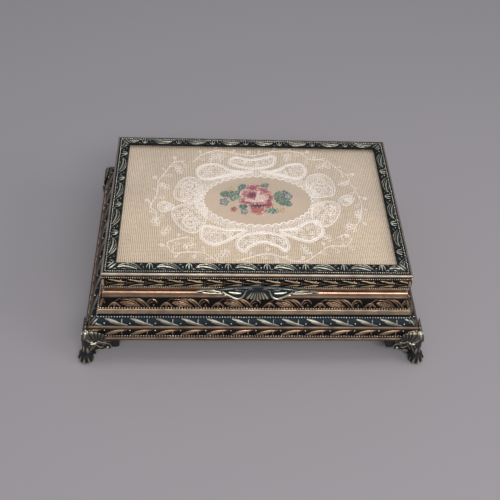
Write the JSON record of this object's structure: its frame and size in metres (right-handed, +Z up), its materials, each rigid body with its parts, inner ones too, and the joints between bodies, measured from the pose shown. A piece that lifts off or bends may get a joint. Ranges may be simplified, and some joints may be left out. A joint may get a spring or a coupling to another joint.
{
  "type": "trinket box",
  "caption": "Gilt metal trinket box on claw feet, with moulded sides and a hinged lid that holds a lace and rose needlework panel under glass.",
  "frame": {"origin": "on the ground under the centre of the box", "axes": "+X along the length to the right, +Y to the back where the hinges are, +Z up"},
  "size_m": [0.2032, 0.143, 0.0648],
  "materials": {
    "aged_gilt": "aged gilt, satin",
    "dark_gilt": "darkened gilt with a dark patina in the recesses",
    "patinated_bronze": "cast, darkened, with worn high spots",
    "hinge_brass": "plain, dulled",
    "screw_steel": "plain",
    "window_glass": "clear",
    "lace_cloth": "cream net with white lace and a petit-point rose",
    "card": "grey board",
    "velvet": "short pile"
  },
  "bodies": {
    "box": {"body_wall_front": "aged_gilt", "body_wall_right": "aged_gilt", "body_wall_back": "aged_gilt", "body_wall_left": "aged_gilt", "base_moulding_front": "dark_gilt", "base_moulding_right": "dark_gilt", "base_moulding_back": "dark_gilt", "base_moulding_left": "dark_gilt", "bottom_plate": "dark_gilt", "wall_lining_front": "velvet", "wall_lining_right": "velvet", "wall_lining_back": "velvet", "wall_lining_left": "velvet", "floor_pad": "velvet", "hinge_box_leaf_left": "hinge_brass", "hinge_box_leaf_right": "hinge_brass", "hinge_pin_left": "hinge_brass", "hinge_pin_right": "hinge_brass", "foot_back_right": "patinated_bronze", "foot_back_left": "patinated_bronze", "foot_front_left": "patinated_bronze", "foot_front_right": "patinated_bronze", "foot_screw_back_right": "screw_steel", "foot_screw_back_left": "screw_steel", "foot_screw_front_left": "screw_steel", "foot_screw_front_right": "screw_steel"},
    "lid": {"lid_moulding_front": "aged_gilt", "lid_moulding_right": "aged_gilt", "lid_moulding_back": "aged_gilt", "lid_moulding_left": "aged_gilt", "lid_glass": "window_glass", "lace_panel": "lace_cloth", "panel_board": "card", "lid_lining": "velvet", "thumb_lift": "patinated_bronze", "hinge_lid_leaf_left": "hinge_brass", "hinge_lid_leaf_right": "hinge_brass"}
  },
  "joints": [
    {"name": "lid_hinge", "type": "hinge", "parent": "box", "child": "lid", "pos_m": [0, 0.0562, 0.05125], "axis": [-1, 0, 0], "range_deg": [0, 100]}
  ]
}
